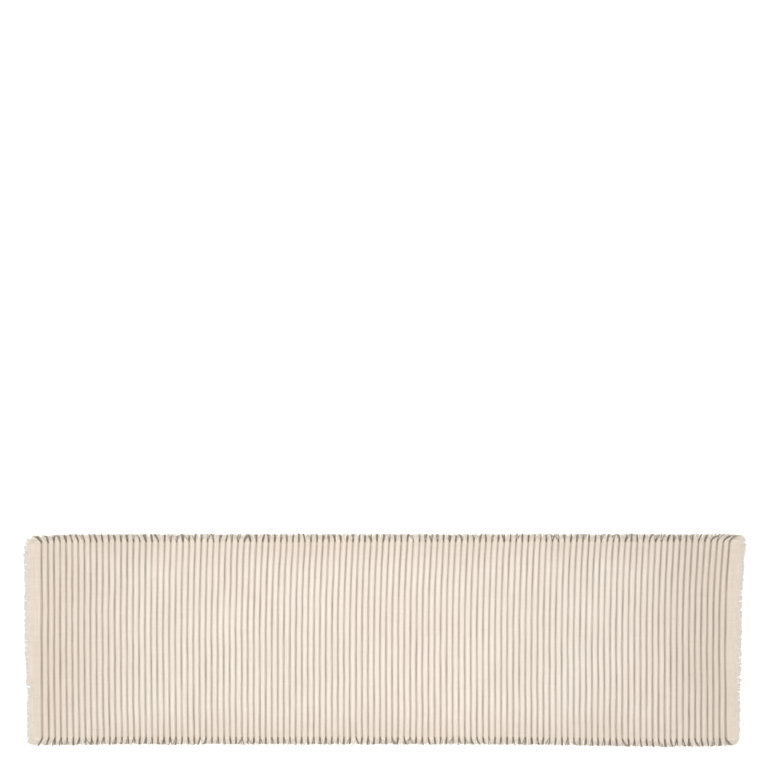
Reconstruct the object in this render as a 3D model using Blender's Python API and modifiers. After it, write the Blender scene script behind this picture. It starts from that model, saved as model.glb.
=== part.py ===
"""A flat-woven cotton table runner with crosswise stripes and a short fringe on all four sides.

It lies flat on the plane z = 0, with its length along X and its width along Y, centred on the
origin. Left and right are the two short ends (-X and +X), front and back the long sides (-Y and +Y).
"""

import math

import bpy

# Driving dimensions, in metres.
LENGTH = 1.219            # fringe tip to fringe tip, along X
WIDTH = 0.358             # fringe tip to fringe tip, along Y
THICKNESS = 0.0012        # the cloth
END_FRINGE = 0.011        # free yarn at the two short ends
SIDE_FRINGE = 0.013       # free yarn along the two long sides
STRIPE_COUNT = 114
STRIPE_PITCH = 0.01029
STRIPE_WIDTH = 0.0028
STRIPE_THICKNESS = 0.00035
GAP = 0.0003              # clearance between neighbouring solids

# The fringes: flat combs whose teeth stand for small bunches of yarn.
SPINE_WIDTH = 0.002
SIDE_FRINGE_LOW = 0.0001
SIDE_FRINGE_HIGH = 0.0005
END_FRINGE_LOW = 0.00035
END_FRINGE_HIGH = 0.00085
SIDE_TOOTH_ROOT = 0.0072
SIDE_TOOTH_TIP = 0.0056
END_TOOTH_COUNT = 60
END_TOOTH_ROOT = 0.0044
END_TOOTH_TIP = 0.0030
LEAN = 0.0015             # how far the tips lean outwards at the corners
TUFT_TIP_WIDTH = 0.0034   # a coloured tuft spreads a little towards its tip
TIE_WIDTH = 0.001         # strip that ties the coloured yarns together at the fringe's root

# The stay stitching: a row of lockstitch just inside each fringe.
STITCH_INSET = 0.003
THREAD_RADIUS = 0.000125
THREAD_GROOVE_WIDTH = 0.0009
THREAD_GROOVE_DEPTH = 0.00045
BOBBIN_CLEARANCE = 0.00002
CROSSING_CLEARANCE = 0.0008   # from the end of a short row to the long row it would meet
OVERCUT = 1.1             # how many times longer a cutter is than the cloth it runs across

CLOTH_LENGTH = LENGTH - 2 * END_FRINGE
CLOTH_WIDTH = WIDTH - 2 * SIDE_FRINGE
STRIPE_LOW = THICKNESS - STRIPE_THICKNESS
FIRST_STRIPE = -0.5 * (STRIPE_COUNT - 1) * STRIPE_PITCH
ROW_X = CLOTH_LENGTH / 2 - STITCH_INSET
ROW_Y = CLOTH_WIDTH / 2 - STITCH_INSET

CREAM = (0.82, 0.75, 0.66, 1.0)
TAUPE = (0.16, 0.12, 0.085, 1.0)
THREAD_CREAM = (0.88, 0.83, 0.75, 1.0)


def clear_scene():
    for old in list(bpy.data.objects):
        bpy.data.objects.remove(old, do_unlink=True)


def new_collection(name):
    collection = bpy.data.collections.new(name)
    bpy.context.scene.collection.children.link(collection)
    return collection


def new_material(name, colour, roughness):
    material = bpy.data.materials.new(name)
    material.use_nodes = True
    shader = material.node_tree.nodes["Principled BSDF"]
    shader.inputs["Base Color"].default_value = colour
    shader.inputs["Roughness"].default_value = roughness
    material.diffuse_color = colour
    return material


def stripe_places():
    """The x of each stripe's centre line."""
    return [FIRST_STRIPE + number * STRIPE_PITCH for number in range(STRIPE_COUNT)]


def lean_at(place, half_span):
    """Fringe tips lean outwards: not at all in the middle, by LEAN at the corners."""
    return LEAN * place / half_span


def flat_solid(name, outlines, low, high, material, collection, turn=0.0):
    """A flat solid between two heights; inner outlines become holes, turn is about Z."""
    curve = bpy.data.curves.new(name, "CURVE")
    curve.dimensions = "2D"
    curve.fill_mode = "BOTH"
    curve.extrude = (high - low) / 2
    for outline in outlines:
        spline = curve.splines.new("POLY")
        spline.points.add(len(outline) - 1)
        for point, (x, y) in zip(spline.points, outline):
            point.co = (x, y, 0, 1)
        spline.use_cyclic_u = True
    solid = bpy.data.objects.new(name, curve)
    solid.location.z = (low + high) / 2
    solid.rotation_euler.z = turn
    curve.materials.append(material)
    collection.objects.link(solid)


def thread(name, start, end, material, collection):
    """A straight round thread between two points."""
    curve = bpy.data.curves.new(name, "CURVE")
    curve.dimensions = "3D"
    curve.bevel_depth = THREAD_RADIUS
    curve.bevel_resolution = 2
    curve.use_fill_caps = True
    spline = curve.splines.new("POLY")
    spline.points.add(1)
    spline.points[0].co = (*start, 1)
    spline.points[1].co = (*end, 1)
    strand = bpy.data.objects.new(name, curve)
    curve.materials.append(material)
    collection.objects.link(strand)


def block(name, centre, size, collection, material=None):
    """A box from the cube primitive, its size in its mesh."""
    bpy.ops.mesh.primitive_cube_add(size=1, location=centre)
    box = bpy.context.object
    box.name = name
    for vertex in box.data.vertices:
        vertex.co = [value * side for value, side in zip(vertex.co, size)]
    for owner in list(box.users_collection):
        owner.objects.unlink(box)
    collection.objects.link(box)
    if material:
        box.data.materials.append(material)
    return box


def cut(solid, cutter):
    cutter.hide_render = True
    cutter.display_type = "WIRE"
    boolean = solid.modifiers.new(f"cut by {cutter.name}", "BOOLEAN")
    boolean.object = cutter
    boolean.operation = "DIFFERENCE"
    boolean.solver = "EXACT"


def stripe_groove_cutter(collection):
    """One groove for each stripe, right across the cloth and open at the top."""
    floor = STRIPE_LOW - GAP
    height = 2 * (THICKNESS - floor)
    size = (STRIPE_WIDTH + 2 * GAP, CLOTH_WIDTH * OVERCUT, height)
    cutter = block("stripe_grooves", (FIRST_STRIPE, 0, floor + height / 2), size, collection)
    row = cutter.modifiers.new("one for each stripe", "ARRAY")
    row.count = STRIPE_COUNT
    row.use_relative_offset = False
    row.use_constant_offset = True
    row.constant_offset_displace = (STRIPE_PITCH, 0, 0)
    return cutter


def thread_groove_cutters(collection):
    """Four shallow grooves under the cloth, where the lower threads lie."""
    height = 2 * THREAD_GROOVE_DEPTH
    cutters = []
    for side, sign in (("front", -1), ("back", 1)):
        size = (CLOTH_LENGTH * OVERCUT, THREAD_GROOVE_WIDTH, height)
        cutters.append(block(f"thread_groove_{side}", (0, sign * ROW_Y, 0), size, collection))
    for side, sign in (("left", -1), ("right", 1)):
        size = (THREAD_GROOVE_WIDTH, 2 * ROW_Y, height)
        cutters.append(block(f"thread_groove_{side}", (sign * ROW_X, 0, 0), size, collection))
    return cutters


def woven_panel(material, parts, cutters):
    """The ground cloth, between the roots of the four fringes."""
    size = (CLOTH_LENGTH, CLOTH_WIDTH, THICKNESS)
    panel = block("woven_panel", (0, 0, THICKNESS / 2), size, parts, material)
    cut(panel, stripe_groove_cutter(cutters))
    for groove in thread_groove_cutters(cutters):
        cut(panel, groove)


def coloured_weft(material, parts):
    """The stripes, from fringe tip to fringe tip, tied together along each fringe's root."""
    half = STRIPE_WIDTH / 2
    tie_in = CLOTH_WIDTH / 2 + GAP
    tie_out = tie_in + TIE_WIDTH
    tip = WIDTH / 2
    tip_half = TUFT_TIP_WIDTH / 2
    places = stripe_places()

    def tufts(sign, ordered):
        points = []
        for x in ordered:
            tip_x = x + lean_at(x, LENGTH / 2)
            points += [(x + sign * half, sign * tie_out), (tip_x + sign * tip_half, sign * tip)]
            points += [(tip_x - sign * tip_half, sign * tip), (x - sign * half, sign * tie_out)]
        return points

    ends_right = [(places[-1] + half, -tie_in), (places[-1] + half, tie_in)]
    ends_left = [(places[0] - half, tie_in), (places[0] - half, -tie_in)]
    outer = tufts(-1, places) + ends_right + tufts(1, reversed(places)) + ends_left
    holes = []
    for x, following in zip(places, places[1:]):
        left, right = x + half, following - half
        holes.append([(left, -tie_in), (left, tie_in), (right, tie_in), (right, -tie_in)])
    flat_solid("coloured_weft", [outer] + holes, STRIPE_LOW, THICKNESS, material, parts)


def comb(half_span, inner, tip, teeth, root_width, tip_width):
    """A comb's outline: its spine runs along X, and its teeth point along +Y."""
    outer = inner + SPINE_WIDTH
    points = [(-half_span, inner), (half_span, inner)]
    for place in reversed(teeth):
        tip_place = place + lean_at(place, half_span)
        points += [(place + root_width / 2, outer), (tip_place + tip_width / 2, tip)]
        points += [(tip_place - tip_width / 2, tip), (place - root_width / 2, outer)]
    return points


def side_fringes(material, parts):
    """The cream crosswise yarns past the long sides, one bunch between every two stripes."""
    half_length = CLOTH_LENGTH / 2
    inner = CLOTH_WIDTH / 2 + GAP
    last_tooth = half_length - SIDE_TOOTH_ROOT / 2
    teeth = [FIRST_STRIPE + (number - 0.5) * STRIPE_PITCH for number in range(STRIPE_COUNT + 1)]
    teeth = [-last_tooth] + teeth + [last_tooth]
    outline = comb(half_length, inner, WIDTH / 2, teeth, SIDE_TOOTH_ROOT, SIDE_TOOTH_TIP)
    for name, turn in (("side_fringe_back", 0.0), ("side_fringe_front", math.pi)):
        flat_solid(name, [outline], SIDE_FRINGE_LOW, SIDE_FRINGE_HIGH, material, parts, turn)


def end_fringes(material, parts):
    """The lengthwise yarns past the two short ends."""
    half_width = CLOTH_WIDTH / 2
    inner = CLOTH_LENGTH / 2 + GAP
    pitch = CLOTH_WIDTH / END_TOOTH_COUNT
    teeth = [-half_width + (number + 0.5) * pitch for number in range(END_TOOTH_COUNT)]
    outline = comb(half_width, inner, LENGTH / 2, teeth, END_TOOTH_ROOT, END_TOOTH_TIP)
    for name, turn in (("end_fringe_left", math.pi / 2), ("end_fringe_right", -math.pi / 2)):
        flat_solid(name, [outline], END_FRINGE_LOW, END_FRINGE_HIGH, material, parts, turn)


def stay_stitching(material, parts):
    """Four rows of lockstitch, each an upper thread on the cloth and a lower one in its groove."""
    above = THICKNESS + GAP + THREAD_RADIUS
    below = THREAD_RADIUS + BOBBIN_CLEARANCE
    side_end = CLOTH_LENGTH / 2 - GAP
    row_end = ROW_Y - CROSSING_CLEARANCE
    for side, sign in (("front", -1), ("back", 1)):
        for kind, z in (("needle", above), ("bobbin", below)):
            start, end = (-side_end, sign * ROW_Y, z), (side_end, sign * ROW_Y, z)
            thread(f"{kind}_thread_{side}", start, end, material, parts)
    for side, sign in (("left", -1), ("right", 1)):
        for kind, z in (("needle", above), ("bobbin", below)):
            start, end = (sign * ROW_X, -row_end, z), (sign * ROW_X, row_end, z)
            thread(f"{kind}_thread_{side}", start, end, material, parts)


def main():
    clear_scene()
    parts = new_collection("table_runner")
    cutters = new_collection("cutters")
    cotton = new_material("natural_cotton", CREAM, 0.95)
    taupe = new_material("taupe_cotton", TAUPE, 0.95)
    sewing = new_material("sewing_thread", THREAD_CREAM, 0.7)
    woven_panel(cotton, parts, cutters)
    coloured_weft(taupe, parts)
    side_fringes(cotton, parts)
    end_fringes(cotton, parts)
    stay_stitching(sewing, parts)


main()
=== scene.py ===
"""The look of a striped cotton table runner, spread flat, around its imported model.

The cloth is one woven sheet. Every yarn end of the four fringes is a twisted pair of plies, with loose
fibres among them, and every row of stay stitching is a pair of threads. All of them are placed on the
flat cloth first and then moved by laid(), which says how the cloth lies on the table, so that they stay
joined.
"""

import math

import bpy
import numpy as np
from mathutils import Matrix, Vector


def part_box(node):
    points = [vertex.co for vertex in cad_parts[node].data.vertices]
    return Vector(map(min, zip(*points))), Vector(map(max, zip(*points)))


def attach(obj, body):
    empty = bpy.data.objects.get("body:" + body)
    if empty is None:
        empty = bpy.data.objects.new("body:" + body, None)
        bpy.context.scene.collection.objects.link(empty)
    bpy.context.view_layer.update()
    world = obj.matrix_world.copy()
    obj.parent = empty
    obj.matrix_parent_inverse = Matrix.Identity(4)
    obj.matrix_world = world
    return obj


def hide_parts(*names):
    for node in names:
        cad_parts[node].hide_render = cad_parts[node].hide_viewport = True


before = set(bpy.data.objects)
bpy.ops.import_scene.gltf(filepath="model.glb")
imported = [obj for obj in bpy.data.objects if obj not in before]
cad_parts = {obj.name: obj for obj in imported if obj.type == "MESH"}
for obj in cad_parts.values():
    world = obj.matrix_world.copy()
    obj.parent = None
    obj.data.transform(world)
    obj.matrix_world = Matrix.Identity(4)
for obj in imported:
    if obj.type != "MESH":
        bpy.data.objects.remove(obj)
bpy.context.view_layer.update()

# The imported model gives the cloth's edges and the fringes' lengths, in metres.
CLOTH_LOW, CLOTH_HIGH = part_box("woven_panel")
HALF_LENGTH = (CLOTH_HIGH[0] - CLOTH_LOW[0]) / 2
HALF_WIDTH = (CLOTH_HIGH[1] - CLOTH_LOW[1]) / 2
END_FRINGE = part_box("end_fringe_right")[1][0] - HALF_LENGTH
SIDE_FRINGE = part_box("side_fringe_back")[1][1] - HALF_WIDTH

# The weave: three taupe picks in every ten make a stripe, and the pick on each side of it shows a
# little taupe, as painted shade beside the stripe.
STRIPE_COUNT = 114
STRIPE_PITCH = 0.01029
PICKS_PER_REPEAT = 10
PICK = STRIPE_PITCH / PICKS_PER_REPEAT
MIDDLE_PICK = 581         # the pick on the cloth's middle line; there are as many on each side of it
STRIPE_AT = 5             # a stripe's middle is this many picks from a repeat's start
STRIPE_PICKS = 3
STRIPED_REACH = STRIPE_COUNT / 2 * PICKS_PER_REPEAT    # picks from the middle to a plain end strip
WARP = 0.00085            # from one lengthwise yarn to the next
CLOTH_THICKNESS = 0.0008
RIDGE = 0.00012           # a pick's rise above the gaps beside it
CROWN = 0.00022           # a cream band's rise above the stripes beside it
CROWN_ROUNDNESS = 0.7     # the power of the sine that shapes it; below 1, it is fuller
END_CROWN = 0.6           # the rise of the plain end strips, as a share of the crown
ROWS = 20                 # mesh rows across the cloth
RIM_ANGLE = math.radians(50)
WEAVE_RELIEF = 0.0002     # from the top of a yarn to the bottom of a crossing

# How the cloth lies on the table. Each move has the most that it comes to, in metres, and then where it
# starts and where it comes to that. Places are in half lengths or half widths from the middle, counted
# the way that the comment says.
BACK_SLIP = (0.0051, -0.95, -0.25)        # to the right
BACK_END_SLIP = (0.0024, 0.8, 1.0)        # to the right
FRONT_END_SLIP = (0.0012, 0.8, 1.0)       # to the right
LEFT_STRETCH = (0.0021, -0.1, 0.6)        # to the left
LEFT_BELLY = (0.0012, 0.7, 1.0)           # to the left
BACK_DIP = (0.0022, 0.85, 1.0)            # to the left
LEFT_END_NARROWS = (0.0035, 0.0, 0.5)     # to the front
LEFT_END_FLARES = (0.0015, 0.5, 1.0)      # to the back
END_EDGE = (0.972, 1.0)       # where the edge of either end starts to move by itself, and fully does
STRETCH_SETS_IN = (-1.0, -0.953)    # to the right: none at the left end itself, and all of it from here

# These moves are largest at one place: the most that each comes to, that place, and how far it spreads.
FRONT_CREEP = (0.0022, -0.78, 0.3)
RIGHT_BELLY = (0.0036, 0.8, 0.25)
RIGHT_END_HOLLOW = (0.003, -0.6, 0.25)

BELLY = 0.0005            # how far the whole front edge bellies out
SIDEWAYS_RIPPLE = 0.00019
UNDERSIDE = 0.0009        # how high the underside lies,
HEIGHT_RIPPLE = 0.7       # and how much that varies, as a share of it
RIPPLE_TURN = 0.6         # how far, in radians, a ripple may run away from straight along the cloth

# The fringe yarns: two soft plies each, which fluff out towards the free end.
PAIR_OFFSET = 0.25        # how far the upper and lower yarn of a pair lie to either side, in spacings
PLY_RADIUS = 0.00026
FLUFF = 1.45              # how many times wider a ply is near its end
FLUFF_RATE = 1.4          # above 1, it is that wide before its end
NARROWS_FROM = 0.85       # the share of its length where it narrows again,
NARROWING = 0.6           # and by how much
PLY_OFFSET = 0.8          # from a yarn's middle to a ply's, in ply radii
PLY_PARTING = 0.4         # how much further apart the plies are at the end
YARN_REACH = PLY_RADIUS * FLUFF * (1 + PLY_OFFSET)
TWIST_LENGTH = 0.009      # one turn of a yarn's two plies
RINGS = 10
PLY_SIDES = 5
TUCK = 0.0015             # how far a yarn starts inside the cloth
ROOT_HEIGHT = 0.75        # how high it leaves the cloth, as a share of the cloth's thickness
TURNING = 0.003           # how far out of the cloth it has turned to its lean
SETTLED = 0.5             # the share of its length where it has come down to its level
LOWER_LIFT = (0.0, 0.0003)      # the least and the most that yarns lie above the table: the lower ones,
UPPER_LIFT = (0.0004, 0.0009)   # the upper ones,
TUFT_LIFT = (0.0003, 0.0013)    # and the taupe ones

# The loose fibres among the yarns.
WISP_RADIUS = 0.00011
WISP_TAPER = 0.4
WISPS_PER_YARN = 1.6
WISP_SIDES = 3
WISP_STRAY = 0.25         # how far a fibre leans away from its yarn, in radians,
WISP_BEND = 0.9           # and how far it bends
WISP_LENGTH = (0.9, 1.35)     # the least and the most, as shares of its yarn's length
WISP_LIFT = 0.001

# How untidy the fringes are. Leans and bends are in radians, and spreads are standard deviations.
FAN = 0.15                # how far the yarns at the ends of an edge lean outwards
TUFT_OPENING = 0.04       # how far the yarns of a tuft lean apart at least,
TUFT_OPENING_SPREAD = 0.08    # and how that varies from tuft to tuft
CREAM_OPENING = 0.13      # how far the cream yarns lean apart
OPENING_BEND = 1.5        # how far yarns bend for each radian that they lean apart
TUFT_LEAN = 0.05
TUFT_CURL = 0.45          # this is cubed, so that most tufts are straight and a few curl,
MOST_CURL = 0.7           # and none curls further than this
SIDE_DRIFT = 0.06         # how far neighbouring yarns lean together,
SIDE_DRIFT_BEND = 0.12    # and bend together
LEAST_COSINE = 0.7        # of a yarn's lean, in working out how long it was trimmed
SIDE_WEAR = (0.5, 1.5)    # the least and the most that a yarn has of the wear at its place
SIDE_LENGTH = (0.92, 0.09)    # the yarns' lengths as shares of the fringe: the mean and the spread
END_LEAN = 0.1
END_DRIFT = (0.015, 0.08)     # the distance between neighbours that lean together, and how far
END_DRIFT_BEND = (0.005, 0.15)
END_WEAR = (0.3, 1.7)
END_LENGTH = (0.93, 0.15)
NOTCH = 0.0020            # the width of the notches worn into the end fringes,
NOTCH_DEPTH = 0.7         # their depth as a share of the fringe,
NOTCH_RARITY = 0.9        # and how rare they are

# How the fringes lie at each corner. Each entry is the most, right at the corner, and how far from the
# corner it reaches. The yarns of the long side ("side") and of the end lean out past the corner, and
# those of the long side also curl that way, all in radians. A worn entry is the share of its length
# that a yarn has lost, or is left long by where it is below zero.
CORNERS = {
    ("left", "back"): {
        "side": (0.3, 0.15),
        "side_curl": (0.0, 0.01),
        "end": (0.15, 0.02),
        "side_worn": (0.6, 0.010),
        "end_worn": (0.55, 0.009),
    },
    ("right", "back"): {
        "side": (0.35, 0.09),
        "side_curl": (0.8, 0.07),
        "end": (0.2, 0.02),
        "side_worn": (0.4, 0.012),
        "end_worn": (-0.1, 0.04),
    },
    ("left", "front"): {
        "side": (0.35, 0.08),
        "side_curl": (0.0, 0.01),
        "end": (0.25, 0.02),
        "side_worn": (0.05, 0.02),
        "end_worn": (-0.1, 0.02),
    },
    ("right", "front"): {
        "side": (0.45, 0.03),
        "side_curl": (0.6, 0.03),
        "end": (0.3, 0.03),
        "side_worn": (0.5, 0.012),
        "end_worn": (0.35, 0.06),
    },
}
CORNER_SPREAD = (0.50, 0.006)   # the last yarns before any corner spread into the open space past it

# The stay stitching. Rises are in thread radii, and dips in cloth thicknesses.
STITCH = 0.003
STITCH_INSET = 0.003
THREAD_RADIUS = 0.00013
POINTS_PER_STITCH = 6
DIP_POWER = 3             # of the cosine that shapes a dip; above 1, it is narrower
NEEDLE_RISE, NEEDLE_DIP = 0.6, 0.5
BOBBIN_RISE, BOBBIN_DIP = 0.3, 0.4

WEAVE_UV = "weave"        # counts picks along the cloth and lengthwise yarns across it
STRAND_UV = "strand"      # round a strand, and along it from 0 to 1
BAKE_UV = "OFBake"        # a layout for baking the colours into
BAKE_MARGIN = 0.02

# Colours: a yarn's paler stretches, its deep ones, the painted shade in the pits between yarns,
# and the tips of free ends.
CREAM = (0.845, 0.765, 0.687, 1)
CREAM_DEEP = (0.72, 0.638, 0.556, 1)
CREAM_PIT_SHADE = (0.69, 0.61, 0.53, 1)
WEFT_YARN = (0.82, 0.738, 0.635, 1)
WARP_YARN = (0.77, 0.70, 0.605, 1)
YARN_DEEP = (0.68, 0.605, 0.51, 1)
WEFT_TIP = (0.675, 0.622, 0.54, 1)
WARP_TIP = (0.73, 0.69, 0.63, 1)
TAUPE_TIP = (0.22, 0.175, 0.13, 1)
TAUPE = (0.23, 0.178, 0.12, 1)
TAUPE_DEEP = (0.14, 0.105, 0.07, 1)
TAUPE_PALE = (0.27, 0.21, 0.145, 1)
THREAD = (0.80, 0.72, 0.63, 1)
THREAD_DEEP = (0.70, 0.62, 0.53, 1)
WHITE = (1, 1, 1, 1)
BLACK = (0, 0, 0, 1)

# How often tones change: over one pick and one lengthwise yarn, or over a metre. Then the noise values
# at which a yarn is all deep and all pale.
PICK_SLUBS = (0.9, 0.012, 1)
WARP_SLUBS = (0.02, 0.8, 1)
TAUPE_SLUBS = (1.3, 0.03, 1)
COVER_SLUBS = (0.4, 0.010, 1)
PATCHES = 9.0
BROAD_TONES = 110.0
FINE_TONES = 420.0
FIBRES = 5200.0
CREAM_TONES = (0.36, 0.66)
YARN_TONES = (0.35, 0.65)

PICK_SHARE = 0.6          # the picks' share of the cream tone; the lengthwise yarns have the rest
PATCH_SHARE = 0.18        # the soft patches' share, over both
# Painted shade: the pits between crossing yarns are painted darker, up to this height of the weave.
PIT_SHADE_EDGE = 0.25           # the height of the weave, from 0 to 1 on either side, where pits end
FIBRE_RELIEF = 0.00006
FIBRE_STRENGTH = 0.8
TIPPED = (0.1, 0.65)      # where along a strand its tip's colour sets in and is complete,
TIP_SHARE = 0.75          # and how much of it there is then

# Where taupe shows. Heights of the weave go from -1 to 1.
COVER_MEAN = 0.467        # the noise value at which a taupe yarn is neither fat nor thin
COVER_EDGE = 0.35         # how soft a taupe yarn's edge is, as a height
# Painted shade: taupe shows on the pick beside each stripe.
SHADE_BESIDE_STRIPE = 0.6              # how much higher a yarn has to lie for taupe to show beside a stripe
STRIPE_EDGE = 0.5 - STRIPE_PICKS / 2 / PICKS_PER_REPEAT    # from the middle of a cream band, in repeats
STRIPE_EDGE_BLUR = 0.01

# The stripes grow stronger towards the right end: from where, and how much more taupe shows there.
STRONGER_FROM = 0.33
STRONGER = 0.055

# Painted shade: the cloth is painted darker and warmer towards its edges: by how much there, and
# how far in from an end or a side.
EDGE_SHADE_TINT = (0.937, 0.905, 0.870, 1)
EDGE_SHADE_END = 0.20
EDGE_SHADE_SIDE = 0.055
EDGE_SHADE_SIDE_SHARE = 0.7     # how much of it the sides have

UP = np.array([0.0, 0.0, 1.0])
random = np.random.default_rng(22)


def eased(value):
    """Rises smoothly from 0 at 0 to 1 at 1."""
    t = np.clip(value, 0, 1)
    return t * t * (3 - 2 * t)


def rising(place, most, start, end):
    """Grows smoothly from nothing at start to most at end."""
    return most * eased((place - start) / (end - start))


def hump(place, most, centre, width):
    return most * np.exp(-(((place - centre) / width) ** 2))


def ripple_waves(count, shortest, longest):
    """Directions, lengths and phases of a few gentle waves over the cloth."""
    turn = random.uniform(-RIPPLE_TURN, RIPPLE_TURN, count)
    length = random.uniform(shortest, longest, count)
    phase = random.uniform(0, 2 * math.pi, count)
    return list(zip(turn, length, phase))


SIDEWAYS_WAVES = ripple_waves(count=7, shortest=0.05, longest=0.16)
HEIGHT_WAVES = ripple_waves(count=9, shortest=0.09, longest=0.30)


def rippled(x, y, waves):
    total = 0.0
    for turn, length, phase in waves:
        along = x * math.sin(turn) + y * math.cos(turn)
        total = total + np.sin(2 * math.pi * along / length + phase)
    return total / math.sqrt(len(waves))


def laid(x, y):
    """Where a point of the flat cloth lies on the table, and how high its underside is there.

    The back edge has slipped to the right, most of all at the right end, the left end narrows
    towards the front, and the front edge bellies out near the right end.
    """
    u = x / HALF_LENGTH
    v = y / HALF_WIDTH
    back = np.clip(v, 0, None) ** 2
    front = np.clip(-v, 0, None) ** 2
    slip = rising(u, *BACK_SLIP) + rising(u, *BACK_END_SLIP)
    creep = hump(u, *FRONT_CREEP) + rising(u, *FRONT_END_SLIP)
    at_end = rising(np.abs(u), 1, *END_EDGE)
    left_end = at_end * (u < 0) * (rising(-v, *LEFT_END_NARROWS) - rising(v, *LEFT_END_FLARES))
    right_end = -at_end * (u > 0) * hump(v, *RIGHT_END_HOLLOW)
    stretch = rising(-u, *LEFT_STRETCH) * rising(u, 1, *STRETCH_SETS_IN)
    sideways = stretch + SIDEWAYS_RIPPLE * rippled(x, y, SIDEWAYS_WAVES)
    belly = rising(-u, *LEFT_BELLY) + hump(u, *RIGHT_BELLY) + BELLY
    dip = rising(-u, *BACK_DIP)
    height = UNDERSIDE * (1 + HEIGHT_RIPPLE * rippled(x, y, HEIGHT_WAVES))
    return (
        x + slip * back + creep * front + left_end + right_end + sideways,
        y - belly * front - dip * back,
        np.clip(height, THREAD_RADIUS, None),
    )


def new_mesh_object(name, points, faces, uv_layers, materials, face_materials=None):
    """faces is a list of arrays, each of faces with one number of corners."""
    mesh = bpy.data.meshes.new(name)
    corners = np.concatenate([group.ravel() for group in faces])
    sizes = np.concatenate([np.full(len(group), group.shape[1]) for group in faces])
    starts = np.concatenate([[0], np.cumsum(sizes)[:-1]])
    mesh.vertices.add(len(points))
    mesh.vertices.foreach_set("co", np.asarray(points, np.float32).ravel())
    mesh.loops.add(len(corners))
    mesh.loops.foreach_set("vertex_index", corners.astype(np.int32))
    mesh.polygons.add(len(sizes))
    mesh.polygons.foreach_set("loop_start", starts.astype(np.int32))
    mesh.polygons.foreach_set("use_smooth", np.ones(len(sizes), bool))
    for material in materials:
        mesh.materials.append(material)
    if face_materials is not None:
        mesh.polygons.foreach_set("material_index", face_materials.astype(np.int32))
    mesh.update(calc_edges=True)
    for layer_name, coordinates in uv_layers.items():
        layer = mesh.uv_layers.new(name=layer_name)
        layer.uv.foreach_set("vector", np.asarray(coordinates, np.float32).ravel())
    mesh.validate()
    piece = bpy.data.objects.new(name, mesh)
    bpy.context.scene.collection.objects.link(piece)
    return piece


def inset(fraction):
    """Keeps a bake layout's cell clear of its neighbours."""
    return BAKE_MARGIN + (1 - 2 * BAKE_MARGIN) * fraction


def cloth_relief(half_picks):
    """How far the surface rises at each half pick: a ridge on each pick, a crown on each cream band."""
    ridge = np.where(half_picks % 2 == 0, RIDGE, 0.0)
    past_stripe = (half_picks / 2 - STRIPE_AT) % PICKS_PER_REPEAT
    crown = np.sin(math.pi * past_stripe / PICKS_PER_REPEAT) ** CROWN_ROUNDNESS
    striped = np.abs(half_picks / 2) < STRIPED_REACH
    return ridge + CROWN * np.where(striped, crown, END_CROWN)


def in_stripe(pick, width):
    """Whether a pick, counted from the middle one, is among the width picks round a stripe's middle."""
    from_stripe = (pick - STRIPE_AT + width // 2) % PICKS_PER_REPEAT
    return (from_stripe < width) & (np.abs(pick) < STRIPED_REACH)


def sheet_faces(columns, rows):
    """The faces of a closed sheet: a grid of points, the same grid below it, and the rims between."""
    index = np.arange(rows * columns).reshape(rows, columns)
    under = index + rows * columns
    top = np.stack([index[:-1, :-1], index[:-1, 1:], index[1:, 1:], index[1:, :-1]], axis=-1)
    bottom = top[..., ::-1] + rows * columns
    front = np.stack([under[0, :-1], under[0, 1:], index[0, 1:], index[0, :-1]], axis=-1)
    back = np.stack([index[-1, :-1], index[-1, 1:], under[-1, 1:], under[-1, :-1]], axis=-1)
    left = np.stack([under[1:, 0], under[:-1, 0], index[:-1, 0], index[1:, 0]], axis=-1)
    right = np.stack([under[:-1, -1], under[1:, -1], index[1:, -1], index[:-1, -1]], axis=-1)
    return [group.reshape(-1, 4) for group in (top, bottom, front, back, left, right)]


def cloth_layouts(corners, half_picks, row_y):
    """Where each face corner is in the weave and in the bake.

    The underside's weave is one pick out of step, because a yarn that shows on top doesn't show there.
    The bake has the cloth's right half above its left half.
    """
    columns, rows = len(half_picks), len(row_y)
    column = corners % columns
    row = corners // columns % rows
    below = corners >= rows * columns
    weave_u = half_picks[column] / 2 + below
    weave_v = row_y[row] / WARP

    half = columns // 2
    on_right = (column.min(axis=1) >= half)[:, None]
    bake_u = inset((column - on_right * half) / (half + 1))
    bake_v = (inset(row / (rows - 1)) + on_right) / 2
    return {
        WEAVE_UV: np.stack([weave_u, weave_v], axis=-1),
        BAKE_UV: np.stack([bake_u, bake_v], axis=-1),
    }


def woven_cloth(cream, stripe):
    """The cloth as one closed sheet, with two mesh columns for each pick."""
    half_picks = np.arange(-2 * MIDDLE_PICK - 1, 2 * MIDDLE_PICK + 2)
    row_y = np.linspace(-HALF_WIDTH, HALF_WIDTH, ROWS + 1)
    columns, rows = len(half_picks), len(row_y)
    x, y, underside = laid(np.tile(half_picks * PICK / 2, rows), np.repeat(row_y, columns))
    surface = underside + CLOTH_THICKNESS + np.tile(cloth_relief(half_picks), rows)
    points = np.concatenate([np.stack([x, y, surface], axis=1), np.stack([x, y, underside], axis=1)])

    faces = sheet_faces(columns, rows)
    corners = np.concatenate(faces)
    first_column = (corners % columns).min(axis=1)
    pick = np.floor((half_picks[first_column] + 1) / 2)
    # The stripe's material takes one more pick on each side, for the painted shade beside a stripe.
    stripe_and_shade_faces = in_stripe(pick, STRIPE_PICKS + 2).astype(int)
    layouts = cloth_layouts(corners, half_picks, row_y)
    cloth = new_mesh_object("woven_cloth", points, faces, layouts, [cream, stripe], stripe_and_shade_faces)
    cloth.data.set_sharp_from_angle(angle=RIM_ANGLE)
    return cloth


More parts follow.
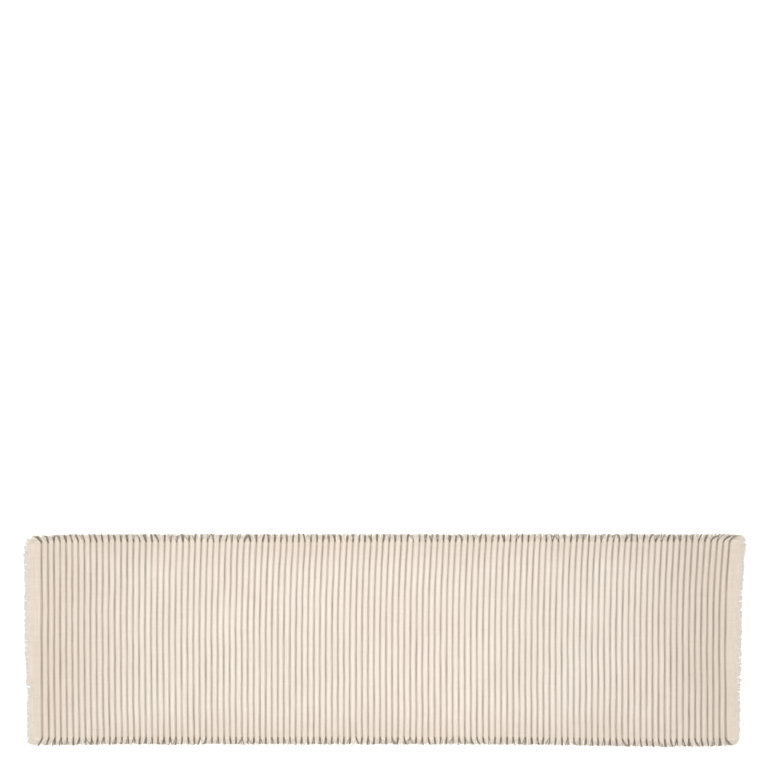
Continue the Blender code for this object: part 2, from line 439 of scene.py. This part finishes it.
def strands(name, paths, radii, material, sides=PLY_SIDES):
    """One mesh of round strands with closed ends; paths is (strands, rings, 3)."""
    count, rings, _ = paths.shape
    along = np.gradient(paths, axis=1)
    along /= np.linalg.norm(along, axis=2, keepdims=True)
    side = np.cross(UP, along)
    side /= np.linalg.norm(side, axis=2, keepdims=True)
    rise = np.cross(along, side)
    turn = 2 * math.pi * np.arange(sides) / sides
    ring = side[:, :, None] * np.cos(turn)[:, None] + rise[:, :, None] * np.sin(turn)[:, None]
    points = paths[:, :, None] + radii[:, :, None, None] * ring

    index = np.arange(count * rings * sides).reshape(count, rings, sides)
    following = np.roll(index, -1, axis=2)
    walls = np.stack([index[:, :-1], following[:, :-1], following[:, 1:], index[:, 1:]], axis=-1)
    walls = walls.reshape(-1, 4)
    caps = np.concatenate([index[:, 0, ::-1], index[:, -1]])

    # In the layouts, the last wall of each ring runs on to one spoke more and not back to the first.
    corners = np.concatenate([walls.ravel(), caps.ravel()])
    strand, level, spoke = np.unravel_index(corners, (count, rings, sides))
    start = np.arange(sides)
    wall_spokes = np.stack([start, start + 1, start + 1, start], axis=-1).ravel()
    spoke[:walls.size] = np.tile(wall_spokes, count * (rings - 1))
    round_it, along_it = spoke / sides, level / (rings - 1)

    cells = math.ceil(math.sqrt(count))
    bake_u = (strand % cells + inset(round_it)) / cells
    bake_v = (strand // cells + inset(along_it)) / cells
    layouts = {
        STRAND_UV: np.stack([round_it, along_it], axis=-1),
        BAKE_UV: np.stack([bake_u, bake_v], axis=-1),
    }
    return new_mesh_object(name, points.reshape(-1, 3), [walls, caps], layouts, [material])


def plied(centres, radii):
    """Two plies twisted round each centre line, parting a little at the free end."""
    t = np.linspace(0, 1, RINGS)
    along = np.gradient(centres, axis=1)
    step = np.linalg.norm(along, axis=2, keepdims=True)
    side = np.cross(UP, along / step)
    rise = np.cross(along / step, side)
    start = random.uniform(0, 2 * math.pi, len(centres))
    turn = start[:, None] + 2 * math.pi * np.cumsum(step[..., 0], axis=1) / TWIST_LENGTH
    apart = (PLY_OFFSET * radii * (1 + PLY_PARTING * t**4))[None, :, None]
    offset = apart * (side * np.cos(turn)[..., None] + rise * np.sin(turn)[..., None])
    return np.concatenate([centres + offset, centres - offset])


def free_ends(roots, outward, lean, bend, length, level):
    """Centre lines of yarn ends: each leaves the cloth straight, leans, bends and lies down.

    level is how high a yarn's middle ends up above the table.
    """
    t = np.linspace(0, 1, RINGS)
    whole = length + TUCK
    turned = eased((t[None, :] * whole[:, None] - TUCK) / TURNING)
    angle = lean[:, None] * turned + bend[:, None] * t
    sideways = np.array([abs(outward[1]), abs(outward[0])])
    step = (whole / (RINGS - 1))[:, None, None]
    heading = np.cos(angle)[..., None] * outward + np.sin(angle)[..., None] * sideways
    places = (roots - TUCK * np.array(outward))[:, None] + np.cumsum(heading * step, axis=1)
    places -= heading[:, :1] * step
    x, y, underside = laid(places[..., 0], places[..., 1])
    inside = underside + CLOTH_THICKNESS * ROOT_HEIGHT
    return np.stack([x, y, inside + (level[:, None] - inside) * eased(t / SETTLED)], axis=-1)


def fringe(name, roots, outward, lean, bend, length, lift, material):
    """Yarn ends from the given roots, each between two heights above the table."""
    t = np.linspace(0, 1, RINGS)
    fluffed = 1 + (FLUFF - 1) * eased(t * FLUFF_RATE)
    ply = PLY_RADIUS * fluffed * (1 - rising(t, NARROWING, NARROWS_FROM, 1))
    level = YARN_REACH + random.uniform(*lift, len(roots))
    yarns = plied(free_ends(roots, outward, lean, bend, length, level), ply)
    return strands(name, yarns, np.tile(ply, (len(yarns), 1)), material)


def wisps(name, roots, outward, lean, length, material):
    """Loose fibres among the yarn ends, which stray sideways and reach a little past them."""
    count = round(len(roots) * WISPS_PER_YARN)
    chosen = random.integers(0, len(roots), count)
    paths = free_ends(
        roots[chosen],
        outward,
        lean[chosen] + random.normal(0, WISP_STRAY, count),
        random.normal(0, WISP_BEND, count),
        length[chosen] * random.uniform(*WISP_LENGTH, count),
        YARN_REACH + random.uniform(0, WISP_LIFT, count),
    )
    radii = WISP_RADIUS * (1 - WISP_TAPER * np.linspace(0, 1, RINGS))
    return strands(name, paths, np.tile(radii, (count, 1)), material, WISP_SIDES)


def drifting(place, spacing, spread):
    """A random value that changes smoothly along an edge."""
    knots = np.arange(place.min() - spacing, place.max() + 2 * spacing, spacing)
    return np.interp(place, knots, random.normal(0, spread, len(knots)))


def for_each(group, spread):
    """One random value for each group, given to all its members."""
    groups, member = np.unique(group, return_inverse=True)
    return random.normal(0, spread, len(groups))[member]


def near(from_corner, most, reach):
    """Grows from nothing, at a distance from a corner, to most at the corner."""
    return most * (1 - eased(from_corner / reach))


def paired(places):
    """Two yarns at every place: its place, where each lies, and whether each is the upper one."""
    place = np.repeat(places, 2)
    upper = np.tile([False, True], len(places))
    return place, place + np.where(upper, PAIR_OFFSET, -PAIR_OFFSET), upper


def side_angles(where, x, tuft, tinted):
    """How far each yarn of a long side leans to the right, and how far it bends that way."""
    left, right = CORNERS["left", where], CORNERS["right", where]
    from_left, from_right = HALF_LENGTH + x, HALF_LENGTH - x
    u = x / HALF_LENGTH
    lean = FAN * u * np.abs(u) - near(from_left, *left["side"]) + near(from_right, *right["side"])
    lean += near(from_right, *CORNER_SPREAD) - near(from_left, *CORNER_SPREAD)

    tuft_opening = TUFT_OPENING + np.abs(for_each(tuft, TUFT_OPENING_SPREAD))
    opening = np.where(tinted, tuft_opening, CREAM_OPENING)
    curl = np.clip(for_each(tuft, TUFT_CURL) ** 3, -MOST_CURL, MOST_CURL)
    lean += np.where(tinted, for_each(tuft, TUFT_LEAN), 0)
    lean += drifting(x, STRIPE_PITCH, SIDE_DRIFT) + opening * random.normal(0, 1, len(x))
    bend = np.where(tinted, curl, 0) + drifting(x, STRIPE_PITCH, SIDE_DRIFT_BEND)
    bend += opening * random.normal(0, OPENING_BEND, len(x))
    bend += near(from_right, *right["side_curl"]) - near(from_left, *left["side_curl"])
    return lean, bend


def side_lengths(where, x, lean, bend):
    """How long each yarn of a long side is: all were trimmed to one line, and the corners are worn."""
    left, right = CORNERS["left", where], CORNERS["right", where]
    worn = near(HALF_LENGTH + x, *left["side_worn"]) + near(HALF_LENGTH - x, *right["side_worn"])
    trimmed = SIDE_FRINGE / np.clip(np.cos(lean + bend / 2), LEAST_COSINE, 1)
    kept = 1 - worn * random.uniform(*SIDE_WEAR, len(x))
    return trimmed * kept * random.normal(*SIDE_LENGTH, len(x))


def side_fringe(where, cream, taupe):
    """The free ends of the picks along one long side. A pick is two yarns, one above the other."""
    side = 1 if where == "back" else -1
    pick, place, upper = paired(np.arange(-MIDDLE_PICK, MIDDLE_PICK + 1))
    x = place * PICK
    tinted = in_stripe(pick, STRIPE_PICKS)
    tuft = (pick - STRIPE_AT + STRIPE_PICKS // 2) // PICKS_PER_REPEAT
    lean, bend = side_angles(where, x, tuft, tinted)
    length = side_lengths(where, x, lean, bend)
    roots = np.stack([x, np.full(len(x), side * HALF_WIDTH)], axis=1)
    layers = {
        f"cream_fringe_{where}_lower": (~tinted & ~upper, LOWER_LIFT, cream),
        f"cream_fringe_{where}_upper": (~tinted & upper, UPPER_LIFT, cream),
        f"taupe_tufts_{where}": (tinted, TUFT_LIFT, taupe),
    }
    fibres = {
        f"cream_wisps_{where}": (~tinted, cream),
        f"taupe_wisps_{where}": (tinted, taupe),
    }
    pieces = [
        fringe(name, roots[of], (0, side), lean[of], bend[of], length[of], lift, material)
        for name, (of, lift, material) in layers.items()
    ]
    return pieces + [
        wisps(name, roots[of], (0, side), lean[of], length[of], material)
        for name, (of, material) in fibres.items()
    ]


def end_fringe(where, cream):
    """The free ends of the lengthwise yarns at one end, two by two, one above the other."""
    side = 1 if where == "right" else -1
    pairs = int(2 * HALF_WIDTH / WARP)
    count = 2 * pairs
    _, place, upper = paired(np.arange(pairs) - (pairs - 1) / 2)
    y = place * WARP
    front, back = CORNERS[where, "front"], CORNERS[where, "back"]
    from_front, from_back = HALF_WIDTH + y, HALF_WIDTH - y
    worn = near(from_front, *front["end_worn"]) + near(from_back, *back["end_worn"])
    notched = NOTCH_DEPTH * eased(drifting(y, NOTCH, 1) - NOTCH_RARITY)
    length = END_FRINGE * (1 - worn * random.uniform(*END_WEAR, count)) * (1 - notched)
    length *= random.normal(*END_LENGTH, count)
    lean = FAN * y / HALF_WIDTH - near(from_front, *front["end"]) + near(from_back, *back["end"])
    lean += near(from_back, *CORNER_SPREAD) - near(from_front, *CORNER_SPREAD)
    lean += drifting(y, *END_DRIFT) + random.normal(0, END_LEAN, count)
    bend = drifting(y, *END_DRIFT_BEND)
    roots = np.stack([np.full(count, side * HALF_LENGTH), y], axis=1)
    lift = [np.where(upper, above, below) for above, below in zip(UPPER_LIFT, LOWER_LIFT)]
    return [
        fringe(f"cream_fringe_{where}", roots, (side, 0), lean, bend, length, lift, cream),
        wisps(f"cream_wisps_{where}", roots, (side, 0), lean, length, cream),
    ]


def stitch_row(name, start, end, below, material):
    """One thread of a lockstitch row, dipping into the cloth between two stitches."""
    stitches = round(math.dist(start, end) / STITCH)
    t = np.linspace(0, 1, POINTS_PER_STITCH * stitches + 1)
    x = start[0] + (end[0] - start[0]) * t
    y = start[1] + (end[1] - start[1]) * t
    laid_x, laid_y, underside = laid(x, y)
    dip = np.abs(np.cos(math.pi * stitches * t)) ** DIP_POWER
    if below:
        z = underside + THREAD_RADIUS * BOBBIN_RISE + dip * CLOTH_THICKNESS * BOBBIN_DIP
    else:
        nearest = np.round(2 * x / PICK).astype(int)
        surface = underside + CLOTH_THICKNESS + cloth_relief(nearest)
        z = surface + THREAD_RADIUS * NEEDLE_RISE - dip * CLOTH_THICKNESS * NEEDLE_DIP
    path = np.stack([laid_x, laid_y, z], axis=-1)[None]
    return strands(name, path, np.full((1, len(t)), THREAD_RADIUS), material)


def stay_stitching(material):
    """Two threads along each edge; the end rows run between the long ones."""
    row_x, row_y = HALF_LENGTH - STITCH_INSET, HALF_WIDTH - STITCH_INSET
    ends = {
        "front": ((-HALF_LENGTH, -row_y), (HALF_LENGTH, -row_y)),
        "back": ((-HALF_LENGTH, row_y), (HALF_LENGTH, row_y)),
        "left": ((-row_x, -row_y + STITCH), (-row_x, row_y - STITCH)),
        "right": ((row_x, -row_y + STITCH), (row_x, row_y - STITCH)),
    }
    rows = {}
    for where, (start, end) in ends.items():
        for thread, below in (("needle", False), ("bobbin", True)):
            node = f"{thread}_thread_{where}"
            rows[node] = stitch_row(f"{thread}_stitches_{where}", start, end, below, material)
    return rows


class Shader:
    """A material's node tree, built one node at a time."""

    def __init__(self, name, roughness, sheen=0.0, specular=0.2):
        self.material = bpy.data.materials.new(name)
        self.material.use_nodes = True
        self.tree = self.material.node_tree
        self.surface = self.tree.nodes["Principled BSDF"].inputs
        self.surface["Roughness"].default_value = roughness
        self.surface["Sheen Weight"].default_value = sheen
        self.surface["Specular IOR Level"].default_value = specular

    def feed(self, socket, value):
        if isinstance(value, bpy.types.NodeSocket):
            self.tree.links.new(value, socket)
        else:
            socket.default_value = value

    def colour(self, value):
        self.feed(self.surface["Base Color"], value)

    def glow(self, strength):
        self.feed(self.surface["Emission Color"], WHITE)
        self.feed(self.surface["Emission Strength"], strength)

    def math(self, operation, first, second=0.0):
        node = self.tree.nodes.new("ShaderNodeMath")
        node.operation = operation
        self.feed(node.inputs[0], first)
        self.feed(node.inputs[1], second)
        return node.outputs[0]

    def plus(self, first, second):
        return self.math("ADD", first, second)

    def minus(self, first, second):
        return self.math("SUBTRACT", first, second)

    def times(self, first, second):
        return self.math("MULTIPLY", first, second)

    def size(self, value):
        return self.math("ABSOLUTE", value)

    def averaged(self, first, share, second):
        """A share of the first value, and the rest of the second."""
        return self.plus(self.times(first, share), self.times(second, 1 - share))

    def between(self, value, low, high):
        """0 below low, 1 above high."""
        node = self.tree.nodes.new("ShaderNodeMapRange")
        node.interpolation_type = "SMOOTHSTEP"
        self.feed(node.inputs["Value"], value)
        node.inputs["From Min"].default_value = low
        node.inputs["From Max"].default_value = high
        return node.outputs["Result"]

    def mixed(self, share, first, second, blend="MIX"):
        node = self.tree.nodes.new("ShaderNodeMix")
        node.data_type = "RGBA"
        node.blend_type = blend
        self.feed(node.inputs["Factor"], share)
        self.feed(node.inputs["A"], first)
        self.feed(node.inputs["B"], second)
        return node.outputs["Result"]

    def place(self):
        return self.tree.nodes.new("ShaderNodeTexCoord").outputs["Object"]

    def layout(self, name):
        node = self.tree.nodes.new("ShaderNodeUVMap")
        node.uv_map = name
        return node.outputs["UV"]

    def parts(self, vector):
        node = self.tree.nodes.new("ShaderNodeSeparateXYZ")
        self.feed(node.inputs[0], vector)
        return node.outputs["X"], node.outputs["Y"]

    def noise(self, vector, scale):
        node = self.tree.nodes.new("ShaderNodeTexNoise")
        node.inputs["Scale"].default_value = scale
        self.feed(node.inputs["Vector"], vector)
        return node.outputs["Fac"]

    def grain(self, per_metre):
        """Noise that changes so many times over a metre."""
        return self.noise(self.place(), per_metre)

    def slubs(self, per_yarn):
        """Noise that changes so many times over one pick and over one lengthwise yarn."""
        node = self.tree.nodes.new("ShaderNodeVectorMath")
        node.operation = "MULTIPLY"
        self.feed(node.inputs[0], self.layout(WEAVE_UV))
        node.inputs[1].default_value = per_yarn
        return self.noise(node.outputs[0], 1.0)

    def bump(self, height, distance, strength=1.0):
        node = self.tree.nodes.new("ShaderNodeBump")
        node.inputs["Strength"].default_value = strength
        node.inputs["Distance"].default_value = distance
        self.feed(node.inputs["Height"], height)
        self.feed(self.surface["Normal"], node.outputs["Normal"])


def over_and_under(shader):
    """Plain weave: 1 where a pick lies on top of a lengthwise yarn, -1 where it lies under one."""
    across, along = shader.parts(shader.layout(WEAVE_UV))
    across = shader.math("COSINE", shader.times(across, math.pi))
    along = shader.math("COSINE", shader.times(along, math.pi))
    return shader.times(across, along)


def cream_cotton(shader, weave):
    """Undyed cotton: slubby picks, fainter lengthwise yarns, soft patches and painted shade in crossing
    pits.
    """
    yarns = shader.averaged(shader.slubs(PICK_SLUBS), PICK_SHARE, shader.slubs(WARP_SLUBS))
    tone = shader.averaged(shader.grain(PATCHES), PATCH_SHARE, yarns)
    yarn = shader.mixed(shader.between(tone, *CREAM_TONES), CREAM_DEEP, CREAM)
    # Painted shade: the pits where the yarns cross are painted darker.
    return shader.mixed(shader.between(shader.size(weave), 0.0, PIT_SHADE_EDGE), CREAM_PIT_SHADE, yarn)


def edge_shaded(shader, colour):
    """The colour, darker and warmer towards the edges of the cloth: painted shade."""
    x, y = shader.parts(shader.place())
    end = shader.between(shader.size(x), HALF_LENGTH - EDGE_SHADE_END, HALF_LENGTH)
    side = shader.between(shader.size(y), HALF_WIDTH - EDGE_SHADE_SIDE, HALF_WIDTH)
    share = shader.math("MAXIMUM", end, shader.times(side, EDGE_SHADE_SIDE_SHARE))
    return shader.mixed(share, colour, EDGE_SHADE_TINT, blend="MULTIPLY")


def showing_taupe(shader, weave):
    """1 where a taupe yarn covers the cloth.

    Fat and thin stretches show more and less of it, and the stripes are stronger at the right end.
    """
    x, _ = shader.parts(shader.place())
    stronger = shader.times(shader.between(x, STRONGER_FROM, HALF_LENGTH), STRONGER)
    spread = shader.plus(shader.minus(shader.slubs(COVER_SLUBS), COVER_MEAN), stronger)
    pick, _ = shader.parts(shader.layout(WEAVE_UV))
    repeats = shader.math("DIVIDE", shader.minus(pick, STRIPE_AT), PICKS_PER_REPEAT)
    off_middle = shader.size(shader.minus(shader.math("FRACT", repeats), 0.5))
    within = shader.between(off_middle, STRIPE_EDGE - STRIPE_EDGE_BLUR, STRIPE_EDGE + STRIPE_EDGE_BLUR)
    # On the picks beside a stripe, taupe shows only where a yarn lies high: painted shade.
    beside = shader.times(shader.minus(within, 1.0), SHADE_BESIDE_STRIPE)
    cover = shader.plus(shader.plus(weave, spread), beside)
    return shader.between(cover, -COVER_EDGE, COVER_EDGE)


def cloth_shader(name):
    """A shader with the relief of the weave, and the height of the weave for its colours."""
    shader = Shader(name, roughness=0.92, sheen=0.12)
    weave = over_and_under(shader)
    shader.bump(weave, WEAVE_RELIEF)
    return shader, weave


def cloth_material():
    shader, weave = cloth_shader("natural_cotton_cloth")
    shader.colour(edge_shaded(shader, cream_cotton(shader, weave)))
    return shader.material


def stripe_material():
    """Taupe picks, hidden at every other crossing by a cream lengthwise yarn."""
    shader, weave = cloth_shader("taupe_stripe_cloth")
    tone = shader.between(shader.slubs(TAUPE_SLUBS), *YARN_TONES)
    taupe = shader.mixed(tone, TAUPE_DEEP, TAUPE)
    striped = shader.mixed(showing_taupe(shader, weave), cream_cotton(shader, weave), taupe)
    shader.colour(edge_shaded(shader, striped))
    return shader.material


def tipped(shader, colour, tip):
    """The colour, turning to another towards a strand's free end."""
    _, along = shader.parts(shader.layout(STRAND_UV))
    return shader.mixed(shader.times(shader.between(along, *TIPPED), TIP_SHARE), colour, tip)


def yarn_material(name, deep, pale, tip, sheen=0.15):
    """Spun yarn: tone changes from yarn to yarn and along each one, over fine fibres."""
    shader = Shader(name, roughness=0.9, sheen=sheen)
    tone = shader.averaged(shader.grain(FINE_TONES), 0.5, shader.grain(BROAD_TONES))
    yarn = shader.mixed(shader.between(tone, *YARN_TONES), deep, pale)
    shader.colour(tipped(shader, yarn, tip))
    shader.bump(shader.grain(FIBRES), FIBRE_RELIEF, FIBRE_STRENGTH)
    return shader.material


def declare(piece, node):
    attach(piece, "root")
    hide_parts(node)


def table_runner():
    weft_yarn = yarn_material("natural_cotton_weft_yarn", YARN_DEEP, WEFT_YARN, WEFT_TIP)
    warp_yarn = yarn_material("natural_cotton_warp_yarn", YARN_DEEP, WARP_YARN, WARP_TIP)
    taupe_yarn = yarn_material("taupe_cotton_yarn", TAUPE_DEEP, TAUPE_PALE, TAUPE_TIP)
    sewing = yarn_material("sewing_thread", THREAD_DEEP, THREAD, THREAD, sheen=0.05)
    cloth = woven_cloth(cloth_material(), stripe_material())
    declare(cloth, "woven_panel")
    for where in ("front", "back"):
        for piece in side_fringe(where, weft_yarn, taupe_yarn):
            if piece.name.startswith("taupe"):
                declare(piece, "coloured_weft")
            else:
                declare(piece, f"side_fringe_{where}")
    for where in ("left", "right"):
        for piece in end_fringe(where, warp_yarn):
            declare(piece, f"end_fringe_{where}")
    for node, row in stay_stitching(sewing).items():
        declare(row, node)


# The studio. The camera looks straight down, above a point well behind the runner, so that the
# runner lies low in the picture.
CAMERA_AT = (0.0034, 0.432, 2.6)
VIEW_WIDTH = 1.309        # what the picture spans on the table
SENSOR_MM = 36
KEY_AT = (-0.07, 0.03, 1.75)
KEY_SIZE = 1.4
KEY_POWER = 36.5
FILL_STRENGTH = 0.40
BACKDROP = 25.0           # the radius of the white dome
FLOOR_DROP = 0.0002       # how far the floor is below the runner's frame
FLOOR_COLOUR = (0.95, 0.95, 0.95, 1)
FLOOR_GLOW = 0.25
FAR_GLOW = 0.5            # how much more it glows far away,
FAR = (0.7, 2.6)          # and the distances where that starts and is complete


def white_floor():
    """Glows a little, and more with distance, to stay white where the lamp's light falls off."""
    shader = Shader("white_floor", roughness=1.0, specular=0.0)
    x, y = shader.parts(shader.place())
    away = shader.math("MAXIMUM", shader.size(x), shader.size(y))
    shader.colour(FLOOR_COLOUR)
    shader.glow(shader.plus(shader.times(shader.between(away, *FAR), FAR_GLOW), FLOOR_GLOW))
    return shader.material


def floor():
    bpy.ops.mesh.primitive_plane_add(size=2 * BACKDROP, location=(0, 0, -FLOOR_DROP))
    plane = bpy.context.object
    plane.name = "floor"
    plane.data.materials.append(white_floor())


def backdrop():
    """A dome round everything, which only the camera sees."""
    shader = Shader("white_backdrop", roughness=1.0)
    shader.colour(BLACK)
    shader.glow(1.0)
    bpy.ops.mesh.primitive_uv_sphere_add(radius=BACKDROP)
    dome = bpy.context.object
    dome.name = "backdrop"
    dome.data.materials.append(shader.material)
    for light in ("visible_diffuse", "visible_glossy", "visible_transmission", "visible_shadow"):
        setattr(dome, light, False)


def lights():
    """A large square lamp above the runner, and soft light from all round."""
    lamp = bpy.data.lights.new("key", "AREA")
    lamp.shape = "SQUARE"
    lamp.size = KEY_SIZE
    lamp.energy = KEY_POWER
    key = bpy.data.objects.new("key", lamp)
    key.location = KEY_AT
    key.visible_camera = False
    bpy.context.scene.collection.objects.link(key)

    world = bpy.data.worlds.new("soft_fill")
    world.use_nodes = True
    fill = world.node_tree.nodes["Background"].inputs
    fill["Color"].default_value = WHITE
    fill["Strength"].default_value = FILL_STRENGTH
    bpy.context.scene.world = world


def camera():
    view = bpy.data.cameras.new("camera")
    view.sensor_width = SENSOR_MM
    view.lens = SENSOR_MM * CAMERA_AT[2] / VIEW_WIDTH
    viewer = bpy.data.objects.new("camera", view)
    viewer.location = CAMERA_AT
    bpy.context.scene.collection.objects.link(viewer)
    bpy.context.scene.camera = viewer
    bpy.context.scene.view_settings.view_transform = "Standard"


floor()
backdrop()
lights()
camera()
table_runner()
